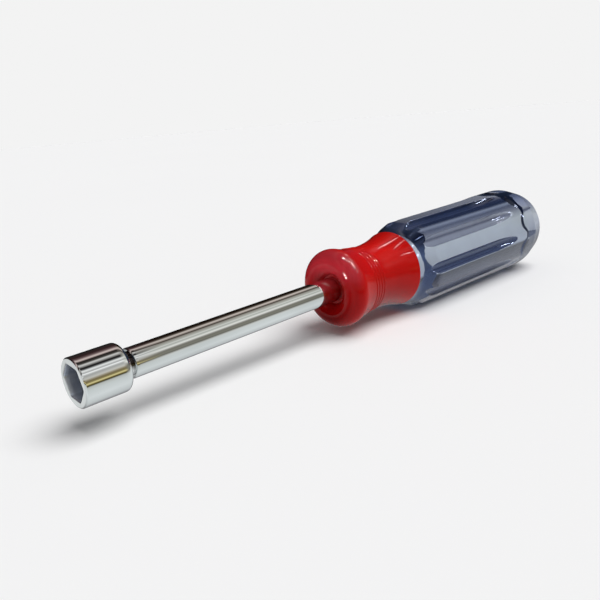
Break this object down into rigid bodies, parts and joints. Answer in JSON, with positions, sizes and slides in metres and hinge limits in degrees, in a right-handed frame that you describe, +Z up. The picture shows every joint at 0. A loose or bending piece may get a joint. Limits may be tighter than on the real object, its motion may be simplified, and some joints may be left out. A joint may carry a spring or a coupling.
{
  "type": "nut driver",
  "caption": "Hand nut driver with a hexagonal socket on a hollow chrome shaft, a waisted red collar and a fluted translucent blue handle.",
  "frame": {"origin": "on the tool's axis, at the mouth of the hexagonal socket", "axes": "+X along the tool's axis from the socket towards the handle, +Z up, +Y to the left of the tool seen from the handle"},
  "size_m": [0.1892, 0.0302, 0.0303],
  "materials": {
    "socket_chrome": "polished",
    "shaft_chrome": "polished",
    "collar_red": "gloss",
    "handle_blue": "gloss, translucent"
  },
  "bodies": {
    "root": {"drive_socket": "socket_chrome", "shaft": "shaft_chrome", "collar": "collar_red", "handle": "handle_blue"}
  },
  "joints": []
}
